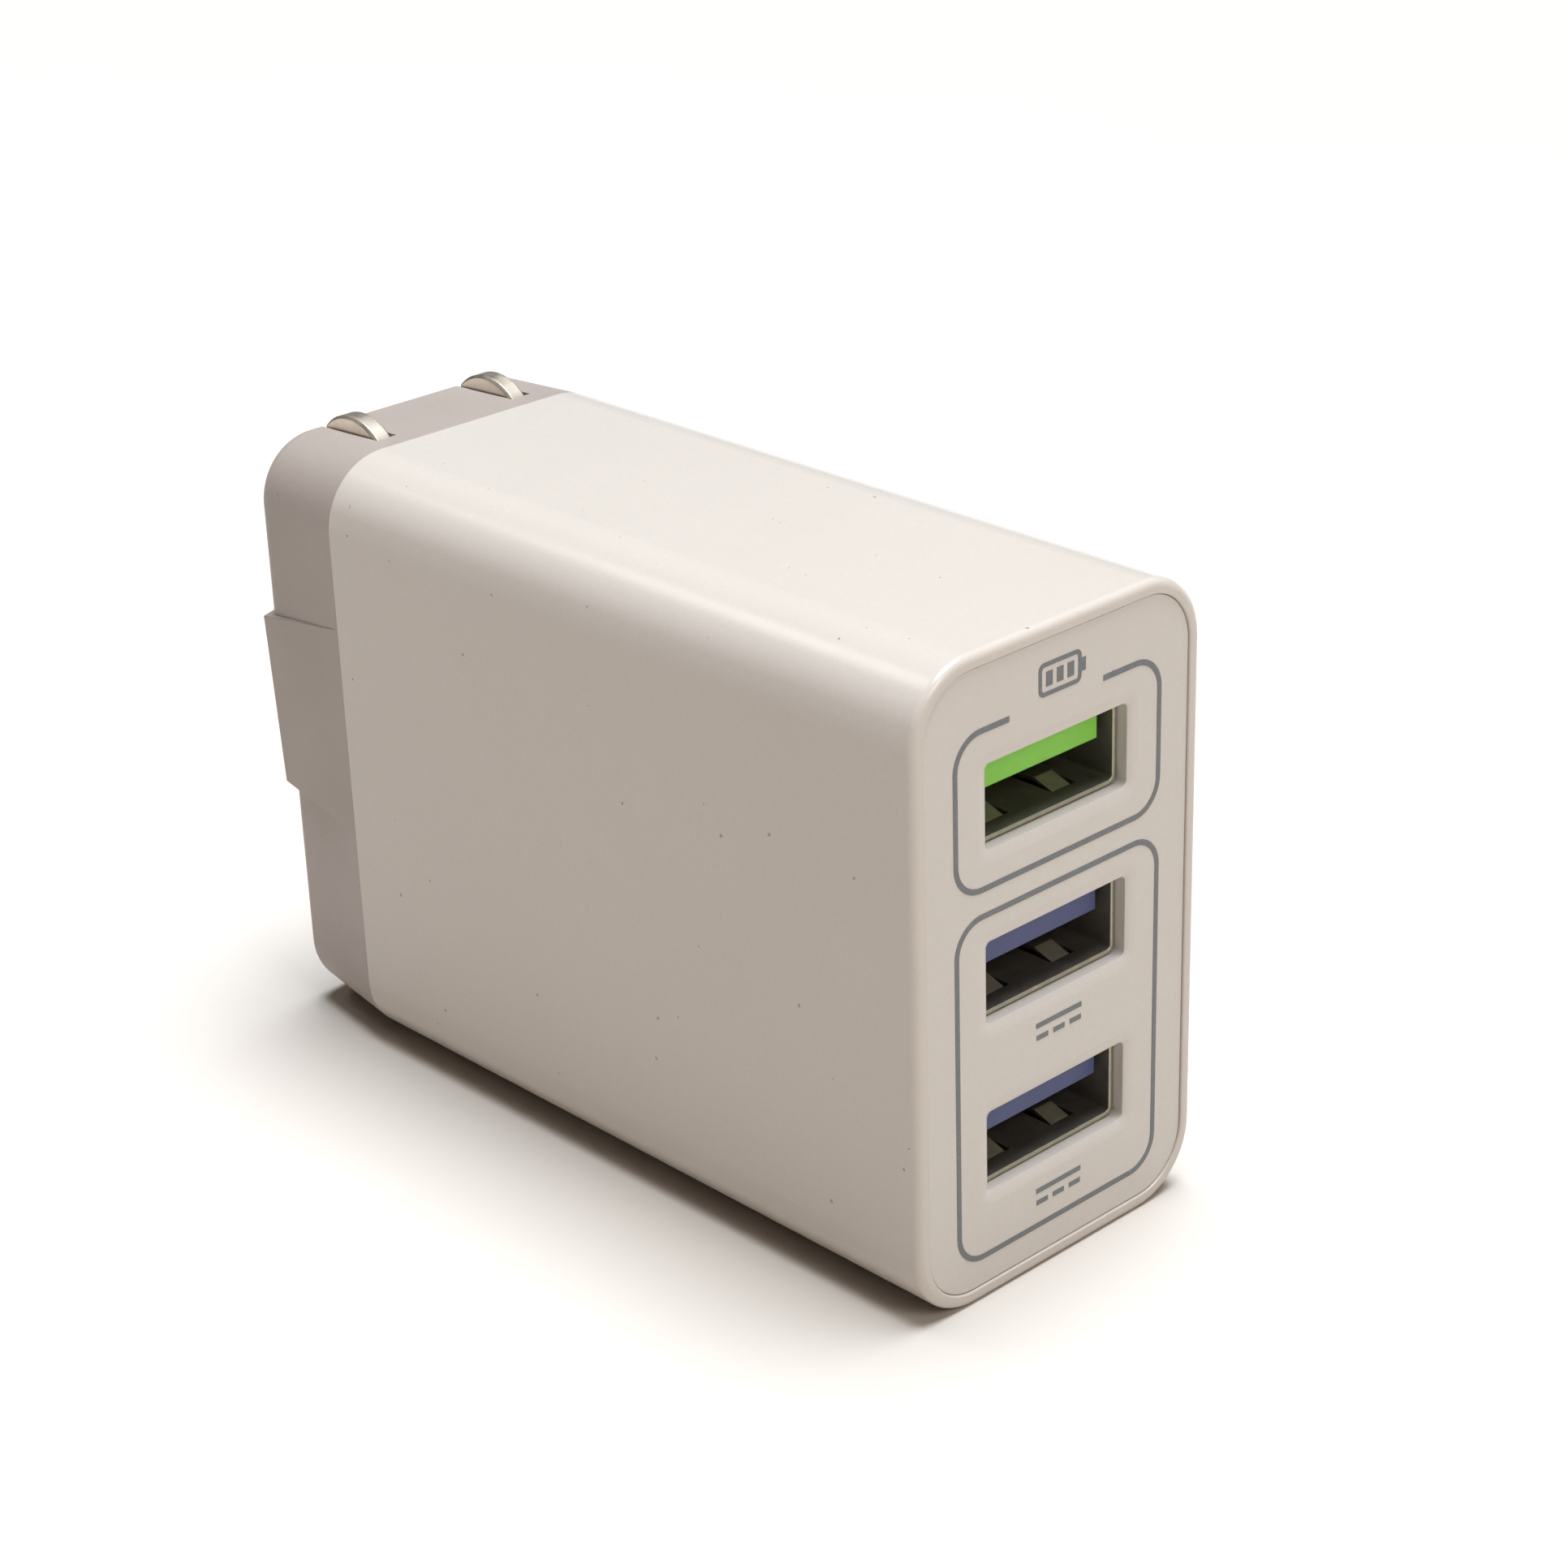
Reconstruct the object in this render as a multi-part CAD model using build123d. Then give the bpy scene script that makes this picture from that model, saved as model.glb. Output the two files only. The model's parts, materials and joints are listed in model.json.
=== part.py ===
from build123d import *
import os

# A USB wall charger with three sockets and a pair of fold-out mains blades.
#
# It stands on its narrow base, +Z up. The socket face looks along -Y, the wall face along +Y, and X runs
# across the width. The origin is at the middle of the base, half way between the socket face and the wall
# face. The blades are drawn folded: they lie upright in slots in the rear cover, and their tips stand a
# little above its top. Everything is in millimetres.

# ---- Driving dimensions --------------------------------------------------------------------------
WIDTH = 27.0
HEIGHT = 46.4
BODY_LENGTH = 58.2
COVER_LENGTH = 9.6
CORNER_RADIUS = 5.2
WALL = 1.8
FIT_GAP = 0.05  # between pieces that locate in each other

UPPER_SIDE_TAPER = 0.65  # how far each side of the rear cover comes in by its wall face, above the grips
LOWER_SIDE_TAPER = 1.4  # the same below the grips
END_TAPER = 0.5  # the same at its top and bottom
COVER_REAR_RADIUS = 4.7
COVER_EDGE_RADIUS = 1.5
COVER_WALL = 1.8
GRIP_Z = 25.8

RIM = 1.0  # width of the housing's rim round the front panel
PANEL_RECESS = 0.15
PANEL_THICKNESS = 1.5
PANEL_GAP = 0.02  # between the panel's edge and the rim
PORT_PITCH = 12.4
TOP_PORT_Z = 35.5
PORT_COUNT = 3
PORT_HOLE = (13.4, 5.95)

PRINT_HALF_WIDTH = 9.6
PRINT_LINE = 0.4
PRINT_THICKNESS = 0.03
PRINT_RADIUS = 2.3
UPPER_OUTLINE_Z = (30.1, 41.0)
LOWER_OUTLINE_Z = (3.2, 28.2)
OUTLINE_BREAK_X = (-4.7, 4.1)
BATTERY_SIGN_Z = 42.6
CURRENT_SIGN_Z = (17.9, 5.4)

USB_INSIDE = (12.5, 5.12)
USB_SHEET = 0.3
USB_DEPTH = 1.15  # from the rim to the mouth of each metal shell
USB_LENGTH = 13.7
TONGUE_SIZE = (11.1, 1.84)
TONGUE_DEPTH = 1.85  # from the rim to the front of the tongue
TONGUE_Z = 0.36  # underside of the tongue above the middle of its port
USB_BASE_LENGTH = 4.1
CONTACT_X = (-3.5, -1.0, 1.0, 3.5)

BLADE_SPACING = 12.7
BLADE_WIDTH = 6.35
BLADE_THICKNESS = 1.5
BLADE_CHAMFER = 0.2
BLADE_REACH = 21.75  # from the pivot to the tip
TIP_RADIUS = 4.4
PIVOT_Z = 25.6
PIVOT_FROM_REAR = 4.45
ROOT_RADIUS = 3.9
ROOT_HOLE_RADIUS = 1.6

DRUM_RADIUS = 4.2
DRUM_HALF_LENGTH = 9.4
STUB_RADIUS = 1.5
STUB_LENGTH = 1.5
STUB_CLEARANCE = 0.08
SLOT_WIDTH = 1.8

BOARD = 1.6

# ---- Places worked out from them -----------------------------------------------------------------
FRONT = -(BODY_LENGTH + COVER_LENGTH) / 2
REAR = -FRONT
SEAM = FRONT + BODY_LENGTH
MID_Z = HEIGHT / 2
PIVOT_Y = REAR - PIVOT_FROM_REAR
INSIDE = (WIDTH - 2 * WALL, HEIGHT - 2 * WALL, CORNER_RADIUS - WALL)
PANEL_FRONT = FRONT + PANEL_RECESS
PANEL_BACK = PANEL_FRONT + PANEL_THICKNESS
USB_MOUTH = FRONT + USB_DEPTH
PORT_BOARD_Y = USB_MOUTH + USB_LENGTH
COVER_INNER_REAR = REAR - COVER_WALL
PORT_Z = [TOP_PORT_Z - i * PORT_PITCH for i in range(PORT_COUNT)]
BLADE_X = BLADE_SPACING / 2

MAIN_BOARD_X = -10.2
MAIN_BOARD_FACE = MAIN_BOARD_X + BOARD
MAIN_BOARD_Y = (-16.2, 18.8)
MAIN_BOARD_Z = (2.6, 43.8)
RETAINER_Y = (SEAM - 2.75, SEAM - 1.15)
SPIGOT_LENGTH = 3.0
SPIGOT_WALL = 1.0
SCREW_Z = (9.5, 39.0)
SCREW_PILOT_RADIUS = 1.0


# ---- Helpers -------------------------------------------------------------------------------------
def front_plane(y):
    """A plane facing the sockets at this y, whose own x and y are the charger's X and Z."""
    return Plane(origin=(0, y, 0), x_dir=(1, 0, 0), z_dir=(0, -1, 0))


def along_y(sketch, y_start, y_end):
    """The sketch, drawn in X and Z, pushed back from y_start to y_end."""
    return extrude(front_plane(y_start) * sketch, amount=y_start - y_end)


def along_x(sketch, x_start, x_end):
    """The sketch, drawn in Y and Z, pushed across from x_start to x_end."""
    return extrude(Plane.YZ.offset(x_start) * sketch, amount=x_end - x_start)


def rounded(width, height, radius, x=0, z=MID_Z):
    return Pos(x, z) * RectangleRounded(width, height, radius)


def box(x, y, z):
    """A box between two x, two y and two z values."""
    size = [abs(b - a) for a, b in (x, y, z)]
    middle = [(a + b) / 2 for a, b in (x, y, z)]
    return Pos(*middle) * Box(*size)


def rod_y(x, z, radius, y_start, y_end):
    return along_y(Pos(x, z) * Circle(radius), y_start, y_end)


def rod_x(y, z, radius, x_start, x_end):
    return along_x(Pos(y, z) * Circle(radius), x_start, x_end)


def strip(points, thickness, x_start, x_end, bend=0.4):
    """A bent sheet-metal strip: a line of that thickness through points in Y and Z, from one x to another."""
    path = FilletPolyline(*points, radius=bend) if len(points) > 2 else Line(*points)
    return along_x(make_face(trace(path, thickness).face().outer_wire()), x_start, x_end)


def both_sides(make):
    """What make returns for the left side (-1) and for the right side (1)."""
    return make(-1) + make(1)


# ---- Casings -------------------------------------------------------------------------------------
def body_shell():
    """The tube that makes most of the outside: a rim in front, a ledge for the panel, rails for the board."""
    outside = along_y(rounded(WIDTH, HEIGHT, CORNER_RADIUS), FRONT, SEAM)
    front_edges = outside.faces().sort_by(Axis.Y)[0].edges()
    outside = fillet(front_edges, 0.55)
    seat = rounded(WIDTH - 2 * RIM, HEIGHT - 2 * RIM, CORNER_RADIUS - RIM)
    shell = outside - along_y(seat, FRONT - 1, PANEL_BACK)
    shell = fillet(shell.faces().sort_by(Axis.Y)[0].inner_wires()[0].edges(), 0.1)
    shell -= along_y(rounded(*INSIDE), PANEL_BACK - 1, SEAM + 1)
    rail_y = (MAIN_BOARD_Y[0], MAIN_BOARD_Y[1] + 0.6)
    rail_gap = 0.1
    left_rail = (-WIDTH / 2 + WALL - 0.2, MAIN_BOARD_X - rail_gap)
    right_rail = (MAIN_BOARD_FACE + rail_gap, MAIN_BOARD_FACE + 1.1)
    rail_height = 1.5
    low = (WALL - 0.2, WALL + rail_height)
    high = (HEIGHT - WALL - rail_height, HEIGHT - WALL + 0.2)
    corner_fill = along_y(rounded(WIDTH - 1, HEIGHT - 1, CORNER_RADIUS - 0.5), *rail_y)
    for rail_x in (left_rail, right_rail):
        for rail_z in (low, high):
            shell += box(rail_x, rail_y, rail_z) & corner_fill
    return shell


def port_hole(z, spread=0.0):
    """The outline of one port's hole, widened by spread all round."""
    return rounded(PORT_HOLE[0] + 2 * spread, PORT_HOLE[1] + 2 * spread, 0.45 + 0.7 * spread, z=z)


def port_lip(z):
    """The soft lip round one port's hole: a cut that curves from the panel's face to the hole's wall."""
    depths = (0.0, 0.03, 0.10, 0.22)
    spreads = (0.85, 0.5, 0.22, 0.0)
    steps = zip(depths, spreads)
    return loft([front_plane(PANEL_FRONT + depth) * port_hole(z, spread) for depth, spread in steps])


def front_panel():
    """The plate that closes the front: a softly lipped hole for each socket, a locating rib behind."""
    gap = 2 * (RIM + PANEL_GAP)
    plate = along_y(rounded(WIDTH - gap, HEIGHT - gap, CORNER_RADIUS - gap / 2), PANEL_FRONT, PANEL_BACK)
    plate = fillet(plate.faces().sort_by(Axis.Y)[0].edges(), 0.12)
    rib_outer = rounded(INSIDE[0] - 2 * FIT_GAP, INSIDE[1] - 2 * FIT_GAP, INSIDE[2])
    rib_inner = rounded(INSIDE[0] - 2.2, INSIDE[1] - 2.2, INSIDE[2] - 1)
    plate += along_y(rib_outer - rib_inner, PANEL_BACK, PANEL_BACK + 2.2)
    for z in PORT_Z:
        plate -= along_y(port_hole(z), PANEL_FRONT - 1, PANEL_BACK + 1)
        plate -= port_lip(z)
    return plate


def printed_outline(z_low, z_high):
    """A rounded rectangular line between these heights."""
    width, height, middle = 2 * PRINT_HALF_WIDTH, z_high - z_low, (z_low + z_high) / 2
    outer = rounded(width + PRINT_LINE, height + PRINT_LINE, PRINT_RADIUS + PRINT_LINE / 2, z=middle)
    return outer - rounded(width - PRINT_LINE, height - PRINT_LINE, PRINT_RADIUS - PRINT_LINE / 2, z=middle)


def battery_sign(z):
    """A plain battery: an outline with its knob, and three bars."""
    case = rounded(4.0, 2.3, 0.5, z=z) - rounded(3.4, 1.7, 0.25, z=z)
    sign = case + Pos(2.2, z) * Rectangle(0.4, 0.9)
    for x in (-1.0, 0, 1.0):
        sign += Pos(x, z) * Rectangle(0.6, 1.0)
    return sign


def direct_current_sign(z):
    """The sign for direct current: a line over three dashes."""
    sign = Pos(0, z + 0.45) * Rectangle(4.4, 0.36)
    for x in (-1.6, 0, 1.6):
        sign += Pos(x, z - 0.45) * Rectangle(1.1, 0.36)
    return sign


def panel_print():
    """The grey lines and signs printed round the ports. The upper outline is open under the battery."""
    break_width = OUTLINE_BREAK_X[1] - OUTLINE_BREAK_X[0]
    upper = printed_outline(*UPPER_OUTLINE_Z)
    upper -= Pos(sum(OUTLINE_BREAK_X) / 2, UPPER_OUTLINE_Z[1]) * Rectangle(break_width, 2)
    marks = upper + printed_outline(*LOWER_OUTLINE_Z) + battery_sign(BATTERY_SIGN_Z)
    for z in CURRENT_SIGN_Z:
        marks += direct_current_sign(z)
    return along_y(marks, PANEL_FRONT - PRINT_THICKNESS, PANEL_FRONT)


def cover_section(share, side_taper, inset=0.0):
    """The rear cover's outline, this share of the way from seam to wall face, brought in by inset."""
    width = WIDTH - 2 * side_taper * share - 2 * inset
    height = HEIGHT - 2 * END_TAPER * share - 2 * inset
    radius = CORNER_RADIUS + (COVER_REAR_RADIUS - CORNER_RADIUS) * share - inset
    return front_plane(SEAM + share * COVER_LENGTH) * rounded(width, height, radius)


def cover_body(side_taper):
    """A closed shell of the cover with this side taper: its outside, and the hollow to be taken from it."""
    outside = loft([cover_section(0, side_taper), cover_section(1, side_taper)])
    outside = fillet(outside.faces().sort_by(Axis.Y)[-1].edges(), COVER_EDGE_RADIUS)
    hollow_share = 1 - COVER_WALL / COVER_LENGTH
    ends = [cover_section(share, side_taper, COVER_WALL) for share in (0, hollow_share)]
    return outside - loft(ends)


def finger_grip(side):
    """A wedge on one side of the cover, that keeps nearly the housing's full width back to the wall face."""
    x_in = WIDTH / 2 - LOWER_SIDE_TAPER - COVER_EDGE_RADIUS - 0.1
    # How far its top and its foot lie in from the housing's side, at the seam and by the wall.
    insets = ((0.0, 0.0), (0.28, 0.88))
    feet = ((17.6, 17.6), (17.9, 18.7))  # the height of its foot, inside and outside
    tops = ((33.9, 33.9), (33.0, 32.4))
    sections = []
    for share, (top_inset, foot_inset), foot, top in zip((0, 1), insets, feet, tops):
        outer = [(WIDTH / 2 - foot_inset, foot[1]), (WIDTH / 2 - top_inset, top[1])]
        corners = [(side * x, z) for x, z in [(x_in, foot[0]), *outer, (x_in, top[0])]]
        sections.append(front_plane(SEAM + share * COVER_LENGTH) * make_face(Polyline(*corners, close=True)))
    return loft(sections)


def drum_block():
    """The solid part of the cover's inside that the drum's cavity and bearings are cut from."""
    return box((-12.0, 12.0), (SEAM, COVER_INNER_REAR + 0.5), (PIVOT_Z - 6.0, PIVOT_Z + 6.0))


def blade_pocket(side):
    """The walls round one folded blade, from the drum's block to the top of the cover."""
    half = SLOT_WIDTH / 2 + 1.1
    x = side * BLADE_X
    front_y = PIVOT_Y - BLADE_WIDTH / 2 - 1.3
    return box((x - half, x + half), (front_y, COVER_INNER_REAR + 0.5), (PIVOT_Z + 5.5, HEIGHT - 1.2))


def blade_slot(side):
    x = side * BLADE_X
    inner_y = PIVOT_Y - BLADE_WIDTH / 2 - 0.12
    slot_x = (x - SLOT_WIDTH / 2, x + SLOT_WIDTH / 2)
    return box(slot_x, (inner_y, REAR + 1), (PIVOT_Z + 3, HEIGHT + 1))


def screw_boss(z):
    return rod_y(0, z, 2.3, SEAM, COVER_INNER_REAR + 0.5)


def drum_cavity():
    """Room for the drum, open towards the inside so that it can be put in, and its window."""
    radius = DRUM_RADIUS + 0.15
    half = DRUM_HALF_LENGTH + 0.15
    window_half_height = 3.6
    cavity = rod_x(PIVOT_Y, PIVOT_Z, radius, -half, half)
    cavity += box((-half, half), (SEAM - 1, PIVOT_Y), (PIVOT_Z - radius, PIVOT_Z + radius))
    window = rounded(2 * half, 2 * window_half_height, 0.6, z=PIVOT_Z)
    return cavity + along_y(window, PIVOT_Y, REAR + 1)


def bearing_slots():
    """A round-ended slot for each of the drum's stubs, open towards the inside and through the spigot."""
    radius = STUB_RADIUS + STUB_CLEARANCE
    end = DRUM_HALF_LENGTH + STUB_LENGTH + 0.15
    cut = rod_x(PIVOT_Y, PIVOT_Z, radius, -end, end)
    open_y = (SEAM - SPIGOT_LENGTH - 1, PIVOT_Y)
    return cut + box((-end, end), open_y, (PIVOT_Z - radius, PIVOT_Z + radius))


def rear_cover():
    """The cover: the blades' slots, the drum's window, two finger grips, a spigot into the housing."""
    upper_half = box((-WIDTH, WIDTH), (SEAM - 1, REAR + 1), (GRIP_Z, HEIGHT + 1))
    upper = cover_body(UPPER_SIDE_TAPER) & upper_half
    lower = cover_body(LOWER_SIDE_TAPER) - upper_half
    cover = upper + lower
    cover += both_sides(finger_grip)
    spigot = rounded(INSIDE[0] - 2 * FIT_GAP, INSIDE[1] - 2 * FIT_GAP, INSIDE[2] - FIT_GAP)
    hollow = rounded(INSIDE[0] - 2 * SPIGOT_WALL, INSIDE[1] - 2 * SPIGOT_WALL, INSIDE[2] - SPIGOT_WALL)
    collar_depth = 0.9  # the collar overlaps the cover's wall, so that the spigot is one piece with it
    collar = rounded(INSIDE[0] + 1, INSIDE[1] + 1, INSIDE[2] + 0.5) - hollow
    cover += along_y(spigot - hollow, SEAM - SPIGOT_LENGTH, SEAM)
    cover += along_y(collar, SEAM, SEAM + collar_depth)
    cover += drum_block()
    cover += both_sides(blade_pocket)
    for z in SCREW_Z:
        cover += screw_boss(z)
        cover -= rod_y(0, z, SCREW_PILOT_RADIUS, SEAM - 1, COVER_INNER_REAR - 0.6)
    cover -= drum_cavity()
    cover -= bearing_slots()
    cover -= both_sides(blade_slot)
    return cover


# ---- Fold-out blades -----------------------------------------------------------------------------
def mains_blade(side):
    """One blade: a round root held by the drum, a straight part and a rounded, chamfered tip."""
    half = BLADE_WIDTH / 2
    tip_z = PIVOT_Z + BLADE_REACH
    shoulder_z = tip_z - TIP_RADIUS + (TIP_RADIUS**2 - half**2) ** 0.5
    outline = Polyline(
        (PIVOT_Y - half, shoulder_z),
        (PIVOT_Y - half, PIVOT_Z),
        (PIVOT_Y + half, PIVOT_Z),
        (PIVOT_Y + half, shoulder_z),
    )
    tip = ThreePointArc((PIVOT_Y + half, shoulder_z), (PIVOT_Y, tip_z), (PIVOT_Y - half, shoulder_z))
    x_start = side * BLADE_X - BLADE_THICKNESS / 2
    straight = along_x(make_face(outline + tip), x_start, x_start + BLADE_THICKNESS)
    foot_z = PIVOT_Z + ROOT_RADIUS
    flat_faces = straight.faces().filter_by(Axis.X)
    rim_edges = [edge for face in flat_faces for edge in face.edges() if edge.center().Z > foot_z]
    straight = chamfer(rim_edges, BLADE_CHAMFER)
    root = rod_x(PIVOT_Y, PIVOT_Z, ROOT_RADIUS, x_start, x_start + BLADE_THICKNESS)
    hole = rod_x(PIVOT_Y, PIVOT_Z, ROOT_HOLE_RADIUS, x_start - 1, x_start + BLADE_THICKNESS + 1)
    return straight + root - hole


def blade_drum():
    """The plastic drum that carries both blades and turns on a stub at each end, with two detent notches."""
    drum = rod_x(PIVOT_Y, PIVOT_Z, DRUM_RADIUS, -DRUM_HALF_LENGTH, DRUM_HALF_LENGTH)
    drum = chamfer(drum.edges().filter_by(GeomType.CIRCLE), 0.3)
    for side in (-1, 1):
        x_start = side * BLADE_X - BLADE_THICKNESS / 2
        ring = rod_x(PIVOT_Y, PIVOT_Z, DRUM_RADIUS + 1, x_start, x_start + BLADE_THICKNESS)
        ring -= rod_x(PIVOT_Y, PIVOT_Z, ROOT_HOLE_RADIUS, x_start, x_start + BLADE_THICKNESS)
        drum -= ring
    notch_half = 3.4
    notch_radius = 0.7
    for y, z in ((PIVOT_Y - DRUM_RADIUS - 0.25, PIVOT_Z), (PIVOT_Y, PIVOT_Z - DRUM_RADIUS - 0.25)):
        drum -= rod_x(y, z, notch_radius, -notch_half, notch_half)
    stub_end = DRUM_HALF_LENGTH + STUB_LENGTH
    stubs = rod_x(PIVOT_Y, PIVOT_Z, STUB_RADIUS, -stub_end, stub_end)
    stubs -= rod_x(PIVOT_Y, PIVOT_Z, STUB_RADIUS + 1, -DRUM_HALF_LENGTH + 1, DRUM_HALF_LENGTH - 1)
    return drum + stubs


def tube_y(x, z, outer, inner, y_start, y_end):
    return along_y(Pos(x, z) * (Circle(outer) - Circle(inner)), y_start, y_end)


def retainer_finger(side):
    """The finger that reaches into one bearing slot behind the drum's stub, hollowed to the stub's shape."""
    half = STUB_RADIUS + STUB_CLEARANCE - 0.06
    x = (side * (DRUM_HALF_LENGTH + 0.25), side * (DRUM_HALF_LENGTH + STUB_LENGTH + 0.05))
    return box(x, (RETAINER_Y[0], PIVOT_Y), (PIVOT_Z - half, PIVOT_Z + half))


def drum_retainer():
    """The plate inside the cover that keeps the drum's stubs in their bearings and carries the springs."""
    plate = along_y(rounded(INSIDE[0] - 2.3, INSIDE[1] - 2.3, INSIDE[2] - 1.2), *RETAINER_Y)
    plate += both_sides(retainer_finger)
    plate -= rod_x(PIVOT_Y, PIVOT_Z, STUB_RADIUS + STUB_CLEARANCE, -WIDTH / 2, WIDTH / 2)
    through = (RETAINER_Y[0] - 1, RETAINER_Y[1] + 1)
    for x in (-BLADE_X, BLADE_X):
        plate -= box((x - 1.0, x + 1.0), through, (PIVOT_Z - 5.5, PIVOT_Z + 3.5))
    plate -= box((-3.2, 3.2), through, (PIVOT_Z - 5.0, PIVOT_Z + 5.0))
    for z in SCREW_Z:
        plate -= rod_y(0, z, 1.2, *through)
        plate += tube_y(0, z, 2.3, 1.2, RETAINER_Y[1], SEAM)
    return plate


def retainer_screws():
    """Two pan-head self-tapping screws that hold the retainer to the cover's bosses."""
    head_top = RETAINER_Y[0] - 1.3
    screws = []
    for z in SCREW_Z:
        screw = rod_y(0, z, 1.9, head_top, RETAINER_Y[0])
        screw = fillet(screw.faces().sort_by(Axis.Y)[0].edges(), 0.6)
        screw += rod_y(0, z, 0.97, RETAINER_Y[0], RETAINER_Y[1] + 6.0)
        for angle in (0, 90):
            bar = Pos(0, head_top + 0.3, z) * Rot(0, angle, 0) * Box(2.2, 0.7, 0.45)
            screw -= bar
        screws.append(screw)
    return Compound(children=screws)


def contact_spring(side):
    """A bronze leaf from one blade's root to its lead: its bow rests on the root's rim."""
    rim_y = PIVOT_Y - ROOT_RADIUS - 0.03
    front_y = RETAINER_Y[0] - 0.22
    points = [
        (front_y, PIVOT_Z - 10.5),
        (front_y, PIVOT_Z - 4.4),
        (rim_y - 0.2, PIVOT_Z - 0.9),
        (rim_y - 0.2, PIVOT_Z + 0.9),
        (rim_y - 1.5, PIVOT_Z + 2.8),
    ]
    x = side * BLADE_X
    return strip(points, 0.4, x - 0.6, x + 0.6)


def detent_spring():
    """A steel leaf whose ridge clicks into the drum's notches, drawn flexed as it rides on the drum."""
    drum_y = PIVOT_Y - DRUM_RADIUS - 0.02
    front_y = RETAINER_Y[0] - 0.17
    points = [
        (front_y, PIVOT_Z - 9.0),
        (front_y, PIVOT_Z - 4.4),
        (drum_y - 0.9, PIVOT_Z - 1.6),
        (drum_y - 0.15, PIVOT_Z),
        (drum_y - 0.9, PIVOT_Z + 1.6),
    ]
    return strip(points, 0.3, -2.8, 2.8, bend=0.3)


def wire(points, radius, bend):
    """A round wire of that radius through the points, with that bend at each corner."""
    path = FilletPolyline(*points, radius=bend)
    return sweep(Plane(origin=path @ 0, z_dir=path % 0) * Circle(radius), path=path)


def mains_leads():
    """The two insulated leads from the contact springs to the main board."""
    radius = 0.8
    lead_y = RETAINER_Y[0] - 0.44 - radius
    land_y = 17.4
    right = [
        (BLADE_X, lead_y, PIVOT_Z - 6.0),
        (BLADE_X, lead_y, PIVOT_Z - 12.0),
        (-BLADE_X, lead_y, PIVOT_Z - 12.0),
        (-BLADE_X, land_y, PIVOT_Z - 12.0),
        (MAIN_BOARD_FACE, land_y, PIVOT_Z - 12.0),
    ]
    left = [
        (-BLADE_X, lead_y, PIVOT_Z - 6.0),
        (-BLADE_X, lead_y, PIVOT_Z - 9.4),
        (-BLADE_X, land_y, PIVOT_Z - 9.4),
        (MAIN_BOARD_FACE, land_y, PIVOT_Z - 9.4),
    ]
    return Compound(children=[wire(points, radius, radius + 0.3) for points in (left, right)])


# ---- Sockets -------------------------------------------------------------------------------------
TAB_X = 3.2
TAB_WINDOW = (2.3, 5.2)  # width across X, length along Y
TAB_DEPTH = 1.5  # from the shell's mouth to its spring windows


def usb_shell(z):
    """A folded metal shell: a rectangular tube with two sprung tabs below, two above and a leg each side."""
    outer = rounded(USB_INSIDE[0] + 2 * USB_SHEET, USB_INSIDE[1] + 2 * USB_SHEET, 0.6, z=z)
    inner = rounded(*USB_INSIDE, 0.35, z=z)
    shell = along_y(outer - inner, USB_MOUTH, PORT_BOARD_Y)
    shell = fillet(shell.faces().sort_by(Axis.Y)[0].edges(), 0.1)
    window_y = (USB_MOUTH + TAB_DEPTH, USB_MOUTH + TAB_DEPTH + TAB_WINDOW[1])
    for x in (-TAB_X, TAB_X):
        window_x = (x - TAB_WINDOW[0] / 2, x + TAB_WINDOW[0] / 2)
        shell -= box(window_x, window_y, (z - 4, z + 4))
        for up in (-1, 1):
            sheet_z = z + up * (USB_INSIDE[1] + USB_SHEET) / 2
            inward = -up
            bow = 0.42 if up < 0 else 0.1
            points = [
                (window_y[1] + 0.2, sheet_z),
                (window_y[1] - 0.5, sheet_z),
                (window_y[0] + 1.9, sheet_z + inward * bow),
                (window_y[0] + 0.3, sheet_z - inward * 0.12),
            ]
            shell += strip(points, USB_SHEET - 0.04, x - 0.85, x + 0.85, bend=0.25)
    leg_y = (PORT_BOARD_Y - 0.5, PORT_BOARD_Y + BOARD + 0.7)
    for side in (-1, 1):
        wall_x = sorted((side * USB_INSIDE[0] / 2, side * (USB_INSIDE[0] / 2 + USB_SHEET)))
        shell += box(wall_x, leg_y, (z - 1.0, z + 1.0))
    return shell


def tongue_z(z):
    """The underside and the top of the tongue of the port at this height."""
    return (z + TONGUE_Z, z + TONGUE_Z + TONGUE_SIZE[1])


def usb_contacts(z):
    """The four sprung contacts of one socket: a strip under the tongue, and a pin through the port board."""
    under = tongue_z(z)[0]
    pins = []
    for x in CONTACT_X:
        level = (under - 0.08, under + 0.22)
        lie = box((x - 0.5, x + 0.5), (FRONT + TONGUE_DEPTH + 0.7, PORT_BOARD_Y), level)
        pin = box((x - 0.3, x + 0.3), (PORT_BOARD_Y - 0.2, PORT_BOARD_Y + BOARD + 0.8), level)
        pins.append(lie + pin)
    return Compound(children=pins)


def usb_insulator(z, contacts):
    """The moulded block at the back of a socket with the tongue that carries its contacts."""
    base_y = (PORT_BOARD_Y - USB_BASE_LENGTH, PORT_BOARD_Y)
    base = along_y(rounded(USB_INSIDE[0] - 0.06, USB_INSIDE[1] - 0.06, 0.35, z=z), *base_y)
    low, high = tongue_z(z)
    half = TONGUE_SIZE[0] / 2
    tongue = box((-half, half), (FRONT + TONGUE_DEPTH, base_y[0] + 0.5), (low, high))
    tongue = chamfer(tongue.faces().sort_by(Axis.Y)[0].edges(), 0.12)
    return base + tongue - contacts


# ---- Electronics ---------------------------------------------------------------------------------
def port_board(inserts):
    """The upright board behind the sockets, with holes for their pins and legs."""
    board = along_y(rounded(22.4, 41.6, 2.0), PORT_BOARD_Y, PORT_BOARD_Y + BOARD)
    for part in inserts:
        board -= part
    return board


LINK_Z = [MID_Z - 6.35 + 2.54 * i for i in range(6)]
LINK_X = MAIN_BOARD_FACE + 1.3


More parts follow.
